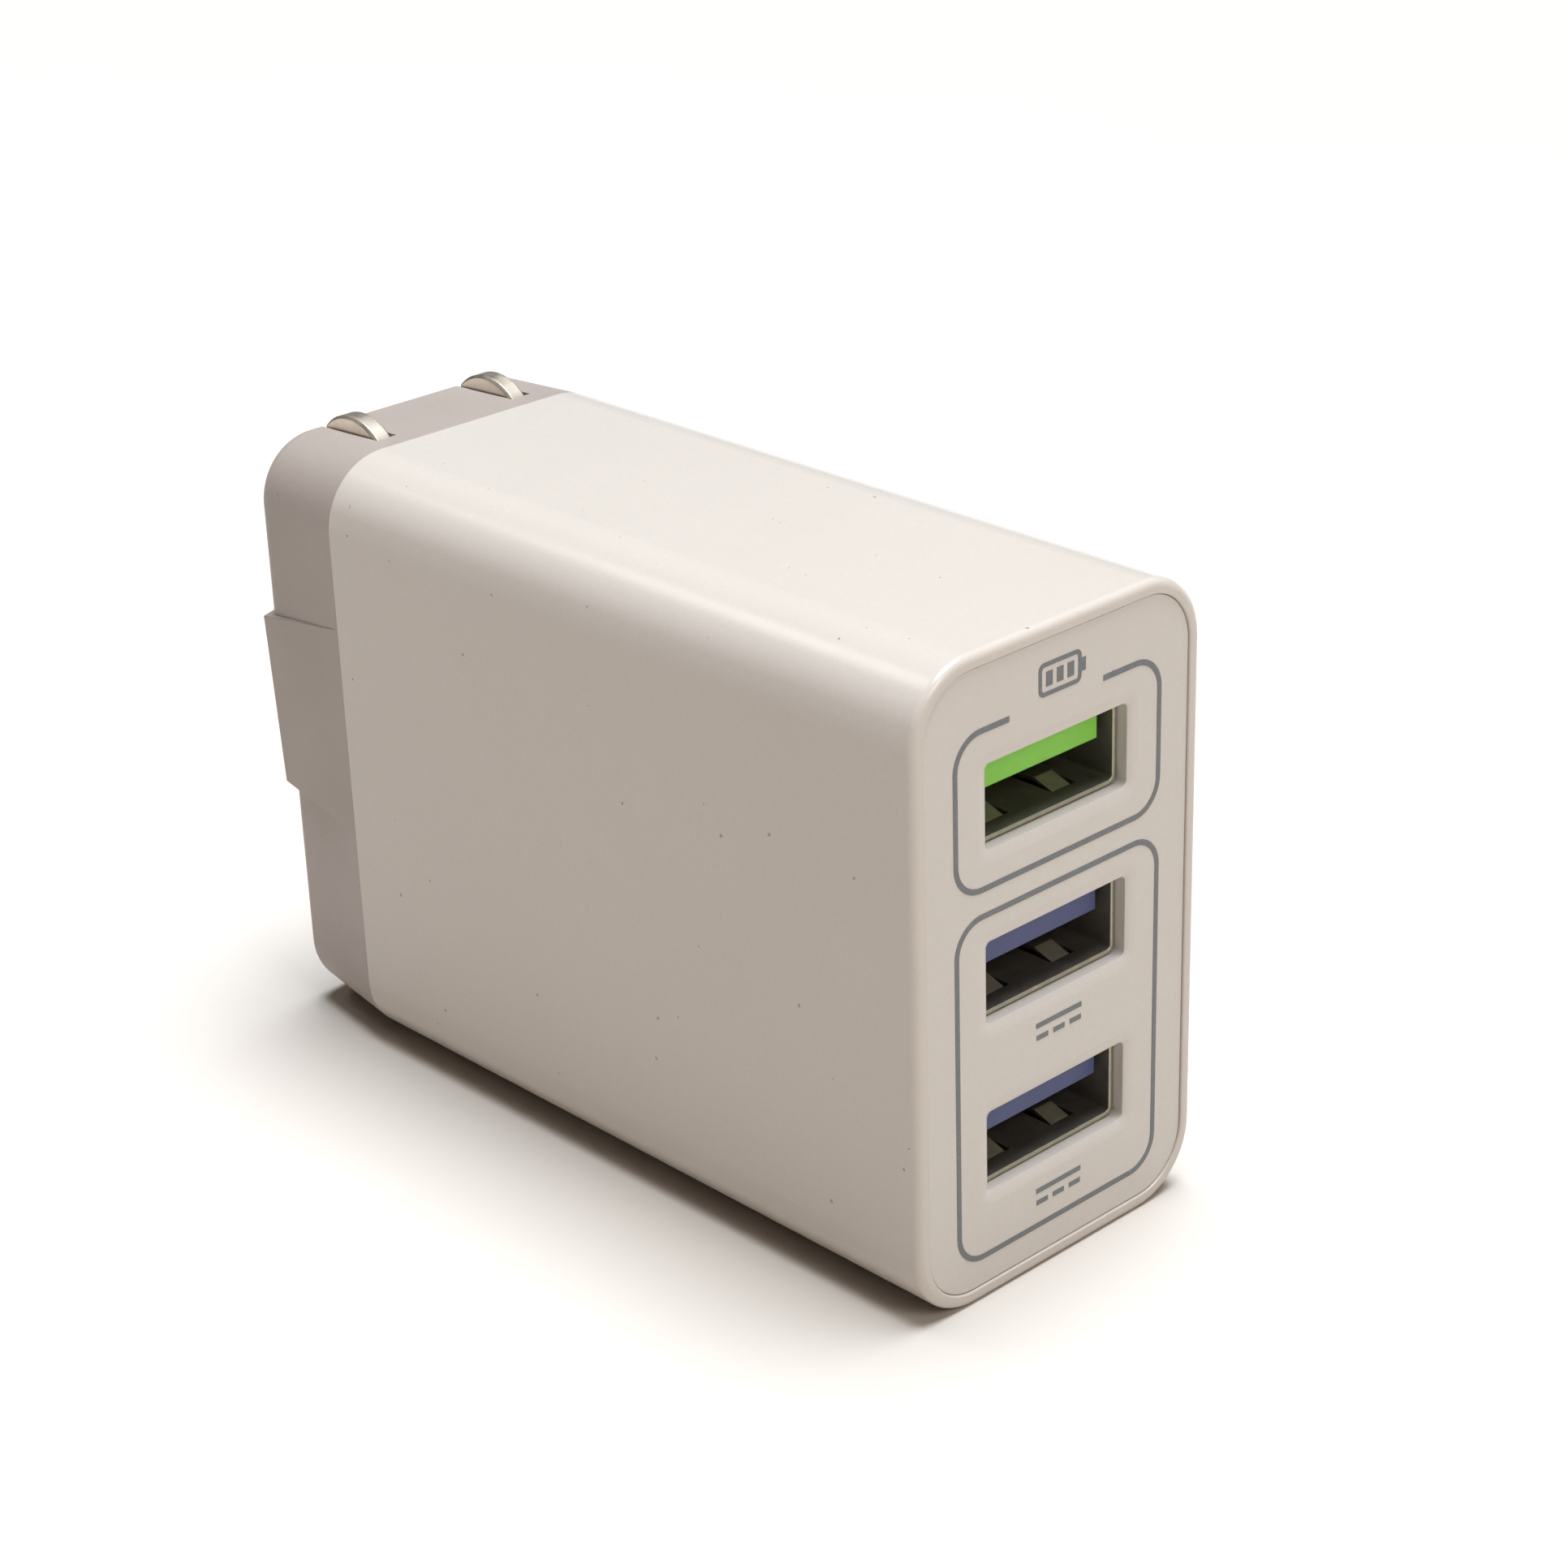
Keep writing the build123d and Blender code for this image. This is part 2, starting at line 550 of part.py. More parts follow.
def link_pins():
    """Six bent pins that join the port board to the main board."""
    back = PORT_BOARD_Y + BOARD
    pins = []
    for z in LINK_Z:
        flat = box((LINK_X - 0.32, LINK_X + 0.32), (PORT_BOARD_Y - 0.8, back + 3.4), (z - 0.32, z + 0.32))
        down = box((MAIN_BOARD_X - 0.9, LINK_X + 0.32), (back + 2.76, back + 3.4), (z - 0.32, z + 0.32))
        pins.append(flat + down)
    return Compound(children=pins)


def link_block(pins):
    """The pins' moulded strip, which lies against the port board."""
    back = PORT_BOARD_Y + BOARD
    half = 0.7
    strip_z = (LINK_Z[0] - 1.27, LINK_Z[-1] + 1.27)
    return box((LINK_X - half, LINK_X + half), (back, back + 2.2), strip_z) - pins


def main_board(pins):
    return box((MAIN_BOARD_X, MAIN_BOARD_FACE), MAIN_BOARD_Y, MAIN_BOARD_Z) - pins


TRANSFORMER_Y = 2.5
TRANSFORMER_Z = 20.5
CORE_HALF = (6.2, 8.0)  # along Y and Z
CORE_LEG = 2.3


def transformer_core():
    """The ferrite core: a frame round the coil with a middle leg through the bobbin."""
    base_x = MAIN_BOARD_FACE + 3.2
    top_x = base_x + 12.6
    y_half, z_half = CORE_HALF
    y0, z0 = TRANSFORMER_Y, TRANSFORMER_Z
    core = box((base_x, top_x), (y0 - 2.3, y0 + 2.3), (z0 - z_half, z0 + z_half))
    for side in (-1, 1):
        window_z = sorted((z0 + side * 2.4, z0 + side * (z_half - CORE_LEG)))
        core -= box((base_x + CORE_LEG, top_x - CORE_LEG), (y0 - y_half, y0 + y_half), window_z)
    return core


def transformer_bobbin():
    """The bobbin: a tube round the middle leg with a flange at each end, and a block on the board."""
    base_x = MAIN_BOARD_FACE + 3.2 + CORE_LEG
    top_x = base_x + 12.6 - 2 * CORE_LEG
    y0, z0 = TRANSFORMER_Y, TRANSFORMER_Z
    flange = 0.7
    gap = 0.08
    window = CORE_HALF[1] - CORE_LEG - gap
    tube = box((base_x + gap, top_x - gap), (y0 - 3.1, y0 + 3.1), (z0 - 3.2, z0 + 3.2))
    for x in ((base_x + gap, base_x + gap + flange), (top_x - gap - flange, top_x - gap)):
        tube += box(x, (y0 - CORE_HALF[0], y0 + CORE_HALF[0]), (z0 - window, z0 + window))
    tube -= box((base_x - 1, top_x + 1), (y0 - 2.3 - gap, y0 + 2.3 + gap), (z0 - 2.4 - gap, z0 + 2.4 + gap))
    return tube


def transformer_foot():
    """The pin block under the core."""
    y0, z0 = TRANSFORMER_Y, TRANSFORMER_Z
    x = (MAIN_BOARD_FACE, MAIN_BOARD_FACE + 3.15)
    foot = box(x, (y0 - 6.6, y0 + 6.6), (z0 - 7.4, z0 + 7.4))
    return foot - box((x[0], x[0] + 1.8), (y0 - 4.4, y0 + 4.4), (z0 - 9, z0 + 9))


def transformer_winding():
    """The taped coil on the bobbin."""
    gap = 0.08
    base_x = MAIN_BOARD_FACE + 3.2 + CORE_LEG + gap + 0.7 + 0.02
    top_x = MAIN_BOARD_FACE + 3.2 + 12.6 - CORE_LEG - gap - 0.7 - 0.02
    y0, z0 = TRANSFORMER_Y, TRANSFORMER_Z
    outer = Pos(y0, z0) * RectangleRounded(11.6, 10.6, 1.6)
    inner = Pos(y0, z0) * Rectangle(6.24, 6.44)
    return along_x(outer - inner, base_x, top_x)


def electrolytic(y, z, radius, height):
    """A can standing on the main board, with the groove that its sleeve is crimped into and a rounded top."""
    can = rod_x(y, z, radius, MAIN_BOARD_FACE, MAIN_BOARD_FACE + height)
    can = fillet(can.faces().sort_by(Axis.X)[-1].edges(), 0.5)
    groove = Plane(origin=(MAIN_BOARD_FACE + 1.9, y, z), z_dir=(1, 0, 0)) * Torus(radius + 0.25, 0.55)
    return can - groove


INPUT_CAPACITORS = ((12.2, 37.4), (1.2, 37.4))
OUTPUT_CAPACITORS = ((-10.4, 7.8), (-10.4, 34.0))


def input_capacitors():
    return Compound(children=[electrolytic(y, z, 5.0, 16.0) for y, z in INPUT_CAPACITORS])


def output_capacitors():
    return Compound(children=[electrolytic(y, z, 4.0, 11.5) for y, z in OUTPUT_CAPACITORS])


def suppression_capacitor():
    """The boxed film capacitor across the mains."""
    block = box((MAIN_BOARD_FACE, MAIN_BOARD_FACE + 11.0), (12.6, 17.6), (17.0, 30.0))
    return fillet(block.faces().sort_by(Axis.X)[-1].edges(), 0.5)


def choke_core():
    """The ring core of the input choke, standing on edge."""
    plane = Plane(origin=(MAIN_BOARD_FACE + 6.2, 12.2, 9.0), z_dir=(0, 1, 0))
    ring = plane * (Circle(5.0) - Circle(2.7))
    core = extrude(ring, amount=2.3, both=True)
    return fillet(core.edges().filter_by(GeomType.CIRCLE), 0.4)


def choke_windings():
    """The turns of enamelled wire on the choke's core, as separate rings round its section."""
    turns = []
    count = 14
    turn_half = (1.15 + 0.55, 2.3 + 0.55)
    for i in range(count):
        angle = 20 + i * 24 + (0 if i < count / 2 else 6)
        frame = Rectangle(2 * turn_half[0], 2 * turn_half[1]) - Rectangle(2 * 1.2, 2 * 2.35)
        turn = extrude(Plane.XY * frame, amount=0.25, both=True)
        centre = Plane(origin=(MAIN_BOARD_FACE + 6.2, 12.2, 9.0), x_dir=(1, 0, 0), z_dir=(0, 1, 0))
        turns.append(centre * Rot(0, 0, angle) * Pos(3.85, 0, 0) * Rot(90, 0, 0) * turn)
    return Compound(children=turns)


def fuse():
    """A small moulded fuse beside the input."""
    return rod_x(4.8, 5.6, 2.1, MAIN_BOARD_FACE, MAIN_BOARD_FACE + 7.6)


def bridge_rectifier():
    block = box((MAIN_BOARD_FACE, MAIN_BOARD_FACE + 2.6), (9.6, 14.6), (30.8, 31.9))
    return block


def switch_transistor():
    """The power transistor, clamped to its heat sink."""
    return box((MAIN_BOARD_FACE + 1.5, MAIN_BOARD_FACE + 10.5), (-4.6, -2.7), (4.0, 11.0))


def heat_sink():
    """A folded aluminium plate behind the power transistor."""
    plate = box((MAIN_BOARD_FACE, MAIN_BOARD_FACE + 15.0), (-2.7, -1.5), (3.6, 11.4))
    return plate + box((MAIN_BOARD_FACE + 13.8, MAIN_BOARD_FACE + 15.0), (-2.7, 1.5), (3.6, 11.4))


def output_inductor():
    """The drum-shaped output inductor."""
    y, z = -9.9, 20.6
    low = MAIN_BOARD_FACE
    drum = rod_x(y, z, 3.8, low, low + 1.2) + rod_x(y, z, 3.8, low + 7.3, low + 8.5)
    return drum + rod_x(y, z, 3.1, low + 1.2, low + 7.3)


def safety_capacitor():
    """The disc capacitor that bridges the insulation gap."""
    disc = along_y(Pos(MAIN_BOARD_FACE + 4.6, 33.0) * Circle(3.6), -5.9, -4.0)
    return fillet(disc.edges(), 0.7)


CHIPS = (((-12.5, -8.5), (17.0, 22.0)), ((-3.0, 1.0), (27.5, 32.5)), ((5.0, 9.0), (11.0, 15.0)))


def controller_chips():
    """The flat chips on the solder side of the main board."""
    chips = [box((MAIN_BOARD_X - 0.95, MAIN_BOARD_X), y, z) for y, z in CHIPS]
    return Compound(children=chips)


def insulation_sheet():
    """A film between the solder side and the housing's side wall."""
    wall_x = -WIDTH / 2 + WALL
    return box((wall_x + 0.06, wall_x + 0.28), (MAIN_BOARD_Y[0], MAIN_BOARD_Y[1]), (6.0, HEIGHT - 6.0))


# ---- Writing the pieces --------------------------------------------------------------------------
def build():
    """Every piece by its node's name."""
    shells = [usb_shell(z) for z in PORT_Z]
    contacts = [usb_contacts(z) for z in PORT_Z]
    pins = link_pins()
    nodes = {
        "body_shell": body_shell(),
        "front_panel": front_panel(),
        "panel_print": panel_print(),
        "rear_cover": rear_cover(),
        "blade_left": mains_blade(-1),
        "blade_right": mains_blade(1),
        "blade_drum": blade_drum(),
        "drum_retainer": drum_retainer(),
        "retainer_screws": retainer_screws(),
        "contact_spring_left": contact_spring(-1),
        "contact_spring_right": contact_spring(1),
        "detent_spring": detent_spring(),
        "mains_leads": mains_leads(),
        "port_board": port_board([*shells, *contacts, pins]),
        "link_pins": pins,
        "link_block": link_block(pins),
        "main_board": main_board(pins),
        "transformer_core": transformer_core(),
        "transformer_bobbin": transformer_bobbin(),
        "transformer_winding": transformer_winding(),
        "transformer_foot": transformer_foot(),
        "input_capacitors": input_capacitors(),
        "output_capacitors": output_capacitors(),
        "suppression_capacitor": suppression_capacitor(),
        "safety_capacitor": safety_capacitor(),
        "choke_core": choke_core(),
        "choke_windings": choke_windings(),
        "fuse": fuse(),
        "bridge_rectifier": bridge_rectifier(),
        "switch_transistor": switch_transistor(),
        "heat_sink": heat_sink(),
        "output_inductor": output_inductor(),
        "controller_chips": controller_chips(),
        "insulation_sheet": insulation_sheet(),
    }
    for i, z in enumerate(PORT_Z):
        nodes[f"usb_shell_{i + 1}"] = shells[i]
        nodes[f"usb_contacts_{i + 1}"] = contacts[i]
        nodes[f"usb_insulator_{i + 1}"] = usb_insulator(z, contacts[i])
    return nodes


def main():
    os.makedirs("parts", exist_ok=True)
    for name, shape in build().items():
        export_step(shape, f"parts/{name}.step")


if __name__ == "__main__":
    main()
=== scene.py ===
import json
import math

import bpy
from mathutils import Matrix, Vector


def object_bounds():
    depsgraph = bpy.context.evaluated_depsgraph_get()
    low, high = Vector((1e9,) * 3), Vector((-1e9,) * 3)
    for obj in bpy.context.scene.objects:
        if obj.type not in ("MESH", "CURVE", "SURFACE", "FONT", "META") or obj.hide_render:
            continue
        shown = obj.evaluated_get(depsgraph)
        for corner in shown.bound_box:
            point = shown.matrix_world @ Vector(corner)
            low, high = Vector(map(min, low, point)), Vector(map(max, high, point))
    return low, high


MM = 0.001

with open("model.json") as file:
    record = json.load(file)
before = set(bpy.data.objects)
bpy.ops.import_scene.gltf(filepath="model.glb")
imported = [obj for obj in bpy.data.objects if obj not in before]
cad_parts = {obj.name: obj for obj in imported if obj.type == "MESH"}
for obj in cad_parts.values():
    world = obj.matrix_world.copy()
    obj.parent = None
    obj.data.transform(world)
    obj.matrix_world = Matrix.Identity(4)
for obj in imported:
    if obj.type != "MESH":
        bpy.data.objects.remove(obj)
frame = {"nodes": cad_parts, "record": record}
cad_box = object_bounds()


# ---- Node materials ------------------------------------------------------------------------------
NOISE_RANGE = (0.3, 0.7)  # most of a noise's values lie in here
MIX_SHARE, MIX_A, MIX_B, MIX_RESULT = 0, 6, 7, 2  # the colour sockets of a Mix node
BEVEL_SAMPLES = 6


class Finish:
    """A node material being put together. Its patterns lie in object space, in millimetres."""

    def __init__(self, name):
        self.material = bpy.data.materials.new(name)
        self.material.use_nodes = True
        self.tree = self.material.node_tree
        self.tree.nodes.clear()
        place = self.add("ShaderNodeTexCoord").outputs["Object"]
        self.place = self.vector("SCALE", place, scale=1 / MM)

    def add(self, kind, inputs=None, **settings):
        """Adds a node with these settings, and links or sets its inputs, named or numbered."""
        made = self.tree.nodes.new(kind)
        for name, value in settings.items():
            setattr(made, name, value)
        for name, value in (inputs or {}).items():
            if isinstance(value, bpy.types.NodeSocket):
                self.tree.links.new(value, made.inputs[name])
            else:
                made.inputs[name].default_value = value
        return made

    def vector(self, operation, a, b=None, scale=None):
        inputs = {0: a}
        if b is not None:
            inputs[1] = b
        if scale is not None:
            inputs["Scale"] = scale
        return self.add("ShaderNodeVectorMath", inputs, operation=operation).outputs[0]

    def math(self, operation, a, b=0.0):
        return self.add("ShaderNodeMath", {0: a, 1: b}, operation=operation).outputs[0]

    def stretched(self, x, y, z):
        """The place divided by a size along each axis, for a pattern that is longer one way."""
        return self.vector("DIVIDE", self.place, (x, y, z))

    def noise(self, size, detail=2.0, place=None):
        """Smooth noise from 0 to 1 with features of about this size."""
        inputs = {"Vector": place or self.place, "Scale": 1 / size, "Detail": detail}
        return self.add("ShaderNodeTexNoise", inputs).outputs[0]

    def cells(self, size, place=None):
        """The distance from each cell's middle, in cell sizes, and the cell's own random colour."""
        inputs = {"Vector": place or self.place, "Scale": 1 / size}
        made = self.add("ShaderNodeTexVoronoi", inputs)
        return made.outputs["Distance"], made.outputs["Color"]

    def bands(self, scale, distortion, direction):
        """Parallel waves from 0 to 1 across this axis."""
        inputs = {"Vector": self.place, "Scale": scale, "Distortion": distortion}
        return self.add("ShaderNodeTexWave", inputs, bands_direction=direction).outputs[1]

    def fit(self, value, low, high, to_low=0.0, to_high=1.0):
        """The value's range from low to high, moved to another range and held there."""
        inputs = {0: value, 1: low, 2: high, 3: to_low, 4: to_high}
        return self.add("ShaderNodeMapRange", inputs, clamp=True).outputs[0]

    def spread(self, noise, to_low=0.0, to_high=1.0):
        """The noise, with its usual values spread over this range."""
        return self.fit(noise, *NOISE_RANGE, to_low, to_high)

    def axis(self, vector, name):
        return self.add("ShaderNodeSeparateXYZ", {0: vector}).outputs[name]

    def normal(self):
        return self.add("ShaderNodeTexCoord").outputs["Normal"]

    def blend(self, share, a, b):
        """Colour a, with this share of colour b laid over it."""
        inputs = {MIX_SHARE: share, MIX_A: colour(a), MIX_B: colour(b)}
        return self.add("ShaderNodeMix", inputs, data_type="RGBA").outputs[MIX_RESULT]

    def vary(self, base, amount, size, detail=2.0):
        """The base colour, a little darker and lighter in patches of this size."""
        share = self.spread(self.noise(size, detail))
        return self.blend(share, scaled(base, 1 - amount), scaled(base, 1 + amount))

    def rounded(self, radius):
        """A normal that softens sharp edges by this radius."""
        inputs = {"Radius": radius * MM}
        return self.add("ShaderNodeBevel", inputs, samples=BEVEL_SAMPLES).outputs[0]

    def bump(self, height, depth, normal=None):
        """A normal with this height pattern, this deep in millimetres from 0 to 1."""
        inputs = {"Height": height, "Distance": depth * MM, "Strength": 1.0}
        if normal is not None:
            inputs["Normal"] = normal
        return self.add("ShaderNodeBump", inputs).outputs[0]

    def finish(self, **inputs):
        """Joins the surface to the output. Inputs have the Principled shader's own names."""
        named = {name.replace("_", " "): value for name, value in inputs.items()}
        named["Base Color"] = colour(named["Base Color"])
        surface = self.add("ShaderNodeBsdfPrincipled", named)
        self.add("ShaderNodeOutputMaterial", {"Surface": surface.outputs[0]})
        return self.material


def colour(value):
    """An RGB triple as the RGBA that a node wants. Anything else is left as it is."""
    return (*value, 1.0) if isinstance(value, tuple) and len(value) == 3 else value


def scaled(base, factor):
    return tuple(min(1.0, channel * factor) for channel in base)


# ---- Finishes of the pieces ----------------------------------------------------------------------
DUST = (0.20, 0.15, 0.11)
DUST_STRENGTH = 0.65
BEND_SCALE = 0.9  # how fine the noise is that bends the pattern of specks, per millimetre
BEND_REACH = 0.6  # the furthest that it moves a speck, in millimetres
SPECK_CORE = 0.6  # share of a speck's radius that is fully dark


def specks(f, size, share, radius, place=None):
    """A mask of small marks: cells of this size, of which this share has a mark of this radius."""
    inputs = {"Vector": f.place, "Scale": BEND_SCALE, "Detail": 1.0}
    bend = f.add("ShaderNodeTexNoise", inputs).outputs[1]
    warped = f.vector("ADD", place or f.place, f.vector("SCALE", bend, scale=BEND_REACH))
    distance, tint = f.cells(size, warped)
    near = f.fit(distance, radius / size, SPECK_CORE * radius / size)
    chosen = f.math("LESS_THAN", f.axis(tint, 0), share)
    return f.math("MULTIPLY", near, chosen)


def moulded_plastic(name, base, roughness, grain, dusty=0.0, edge=0.12, subsurface=0.04):
    """Moulded plastic: faint flow patches, a fine grain, softened edges and some specks of dust."""
    f = Finish(name)
    tone = f.vary(base, 0.012, 16.0)
    mottle = f.fit(f.noise(0.28, 3.0), 0.35, 0.65, 0.0, 0.5)
    tone = f.blend(mottle, tone, scaled(base, 0.945))
    if dusty:
        marks = specks(f, 2.7, 0.2 * dusty, 0.15)
        hairs = specks(f, 1.8, 0.45 * dusty, 0.09, f.stretched(1.0, 1.0, 6.0))
        both = f.math("MAXIMUM", marks, hairs)
        tone = f.blend(f.math("MULTIPLY", both, DUST_STRENGTH), tone, DUST)
    gloss = f.spread(f.noise(7.0, 4.0), roughness * 0.9, roughness * 1.12)
    fine = f.math("ADD", f.noise(0.16), f.math("MULTIPLY", f.noise(2.4), 1.5))
    return f.finish(
        Base_Color=tone,
        Roughness=gloss,
        IOR=1.5,
        Subsurface_Weight=subsurface,
        Subsurface_Radius=(1.0, 0.75, 0.55),
        Subsurface_Scale=0.5 * MM,
        Normal=f.bump(fine, grain, f.rounded(edge)),
    )


def printed_ink():
    """Grey printing ink, a little thin in small spots."""
    f = Finish("print_ink")
    ink, thin_ink = (0.140, 0.150, 0.153), (0.42, 0.40, 0.38)
    tone = f.vary(ink, 0.06, 0.5, 3.0)
    thin = f.fit(f.noise(0.12), 0.62, 0.75, 0.0, 0.35)
    tone = f.blend(thin, tone, thin_ink)
    return f.finish(Base_Color=tone, Roughness=0.45, Normal=f.bump(f.noise(0.1), 0.006))


def nickel_plate():
    """Nickel plating: smooth and bright on a blade's flats, with painted shade darkening its edges.
    """
    f = Finish("nickel_plate")
    across = f.math("ABSOLUTE", f.axis(f.normal(), 0))
    unshaded_flats = f.fit(across, 0.80, 0.97)
    bright = f.vary((0.84, 0.755, 0.655), 0.04, 1.8, 3.0)
    # dull is painted shade: a darker tone on every face of a blade but its flats
    dull = f.vary((0.47, 0.41, 0.34), 0.10, 0.9, 3.0)
    lines = f.noise(1.0, 2.0, f.stretched(0.4, 0.06, 2.0))
    return f.finish(
        Base_Color=f.blend(unshaded_flats, dull, bright),
        Metallic=1.0,
        Roughness=f.spread(f.noise(0.8, 3.0), 0.42, 0.55),
        Normal=f.bump(lines, 0.002, f.rounded(0.12)),
    )


def metal(name, base, roughness, grain_size, grain=0.004):
    """Sheet or turned metal: a grain drawn along one axis, small scratches, a patchy sheen."""
    f = Finish(name)
    tone = f.vary(base, 0.05, 2.5, 3.0)
    lines = f.noise(1.0, 3.0, f.stretched(*grain_size))
    scratches = f.fit(f.noise(0.35, 1.0, f.stretched(0.6, 0.6, 9.0)), 0.68, 0.74)
    sheen = f.spread(lines, roughness * 0.75, roughness * 1.2)
    height = f.math("SUBTRACT", lines, f.math("MULTIPLY", scratches, 0.8))
    return f.finish(
        Base_Color=tone,
        Metallic=1.0,
        Roughness=f.math("ADD", sheen, f.math("MULTIPLY", scratches, 0.12)),
        Normal=f.bump(height, grain, f.rounded(0.08)),
    )


def shell_steel():
    """Tinned sheet, dull, in a dark tone of painted shade, with painted light on faces turned to
    the front.
    """
    f = Finish("shell_steel")
    facing = f.axis(f.normal(), 1)
    # painted light: faces turned to the front, such as the tabs' flanks and the mouth, get the
    # lighter tone
    painted_light_mask = f.fit(facing, -0.12, -0.26)
    lines = f.noise(1.0, 3.0, f.stretched(0.06, 0.8, 0.06))
    # dull is a dark tone of painted shade for the port's inside; bright is the tone of painted
    # light
    dull = f.vary((0.24, 0.22, 0.19), 0.12, 1.6, 3.0)
    bright = f.vary((0.50, 0.47, 0.36), 0.08, 0.8, 3.0)
    return f.finish(
        Base_Color=f.blend(painted_light_mask, dull, bright),
        Metallic=0.9,
        Roughness=f.spread(lines, 0.50, 0.62),
        Normal=f.bump(lines, 0.001, f.rounded(0.05)),
    )


TONGUE_PAINTED_SHADE_FROM_Y, TONGUE_PAINTED_SHADE_TO_Y = -30.0, -22.0  # between these, painted shade darkens a tongue's colour deep in the port


def tongue_plastic(name, base):
    """Bright moulded plastic of a socket's tongue, matt, with painted shade darkening it deep in
    the port.
    """
    f = Finish(name)
    tone = f.vary(base, 0.05, 1.6, 3.0)
    # painted shade: darker towards the back of the port
    painted_depth_shade = f.fit(f.axis(f.place, 1), TONGUE_PAINTED_SHADE_FROM_Y, TONGUE_PAINTED_SHADE_TO_Y, 0.0, 0.85)
    tone = f.blend(painted_depth_shade, tone, scaled(base, 0.25))
    normal = f.bump(f.noise(0.12), 0.004, f.rounded(0.06))
    return f.finish(Base_Color=tone, Roughness=0.42, Normal=normal)


def circuit_board():
    """Green solder mask over copper tracks and pours, with tinned pads."""
    f = Finish("board_green")
    mask, track, tin = (0.012, 0.10, 0.035), (0.03, 0.20, 0.06), (0.62, 0.62, 0.60)
    drilled = (0.02, 0.02, 0.02)
    pour_tint = f.cells(4.2, f.stretched(3.0, 1.0, 1.0))[1]
    pour = f.math("LESS_THAN", f.axis(pour_tint, 1), 0.42)
    weave = f.math("MULTIPLY", f.noise(0.25, 1.0, f.stretched(1.0, 1.0, 4.0)), 0.5)
    line = f.math("GREATER_THAN", f.bands(0.9, 0.0, "Z"), 0.72)
    tracked = f.math("GREATER_THAN", f.axis(pour_tint, 0), 0.6)
    copper = f.math("MAXIMUM", pour, f.math("MULTIPLY", line, tracked))
    woven = f.blend(weave, mask, scaled(mask, 1.4))
    tone = f.blend(f.math("MULTIPLY", copper, 0.9), woven, track)
    pad_distance, pad_tint = f.cells(2.5, f.stretched(4.0, 1.0, 1.0))
    padded = f.math("LESS_THAN", f.axis(pad_tint, 0), 0.3)
    pad = f.math("MULTIPLY", f.fit(pad_distance, 0.24, 0.2), padded)
    hole = f.math("MULTIPLY", f.fit(pad_distance, 0.11, 0.09), pad)
    tone = f.blend(hole, f.blend(pad, tone, tin), drilled)
    raised = f.math("ADD", f.math("MULTIPLY", copper, 0.5), pad)
    return f.finish(
        Base_Color=tone,
        Metallic=f.math("MULTIPLY", pad, 0.9),
        Roughness=f.fit(raised, 0.0, 1.0, 0.42, 0.28),
        Coat_Weight=0.3,
        Coat_Roughness=0.2,
        Normal=f.bump(raised, 0.03, f.rounded(0.05)),
    )


def capacitor_can():
    """A capacitor's dark sleeve with a pale stripe down one side, and its bare aluminium top."""
    f = Finish("capacitor_sleeve")
    dark_blue, stripe_grey, aluminium = (0.010, 0.022, 0.06), (0.42, 0.44, 0.46), (0.66, 0.66, 0.67)
    facing = f.axis(f.normal(), 0)
    top = f.fit(facing, 0.80, 0.86)
    one_side = f.fit(f.axis(f.normal(), 1), 0.90, 0.93)
    stripe = f.math("MULTIPLY", one_side, f.fit(facing, 0.3, 0.2))
    sleeve = f.blend(stripe, f.vary(dark_blue, 0.2, 3.0), stripe_grey)
    return f.finish(
        Base_Color=f.blend(top, sleeve, f.vary(aluminium, 0.06, 0.8, 3.0)),
        Metallic=top,
        Roughness=f.fit(top, 0.0, 1.0, 0.30, 0.36),
        Coat_Weight=f.fit(top, 0.0, 1.0, 0.4, 0.0),
        Normal=f.bump(f.noise(0.5, 3.0), 0.02, f.rounded(0.15)),
    )


def wound_tape():
    """Yellow tape in overlapping turns round the transformer's coil."""
    f = Finish("winding_tape")
    base = (0.78, 0.55, 0.05)
    lap = f.fit(f.bands(0.22, 0.6, "X"), 0.05, 0.2)
    tone = f.blend(lap, scaled(base, 0.62), f.vary(base, 0.05, 2.0))
    creases = f.noise(1.2, 3.0, f.stretched(1.0, 3.0, 3.0))
    wrinkles = f.math("ADD", f.math("MULTIPLY", lap, 0.8), creases)
    return f.finish(Base_Color=tone, Roughness=0.32, Coat_Weight=0.2, Normal=f.bump(wrinkles, 0.04))


def sintered(name, base, chips=0.5):
    """Ferrite or painted ceramic: dull, pitted and slightly mottled."""
    f = Finish(name)
    pits = f.fit(f.noise(0.3, 3.0), 0.62, 0.75)
    mottled = f.vary(base, 0.15, 1.4, 3.0)
    tone = f.blend(f.math("MULTIPLY", pits, chips), mottled, scaled(base, 0.4))
    height = f.math("SUBTRACT", f.noise(0.5, 3.0), pits)
    return f.finish(Base_Color=tone, Roughness=0.62, Normal=f.bump(height, 0.03, f.rounded(0.2)))


def glazed(name, base, roughness):
    """A dipped or moulded part: glossy, slightly lumpy and unevenly coloured."""
    f = Finish(name)
    tone = f.vary(base, 0.12, 1.8, 3.0)
    lumps = f.math("ADD", f.noise(1.6, 3.0), f.math("MULTIPLY", f.noise(0.2), 0.2))
    return f.finish(
        Base_Color=tone,
        Roughness=f.spread(f.noise(2.0, 3.0), roughness * 0.8, roughness * 1.3),
        Coat_Weight=0.25,
        Normal=f.bump(lumps, 0.05, f.rounded(0.15)),
    )


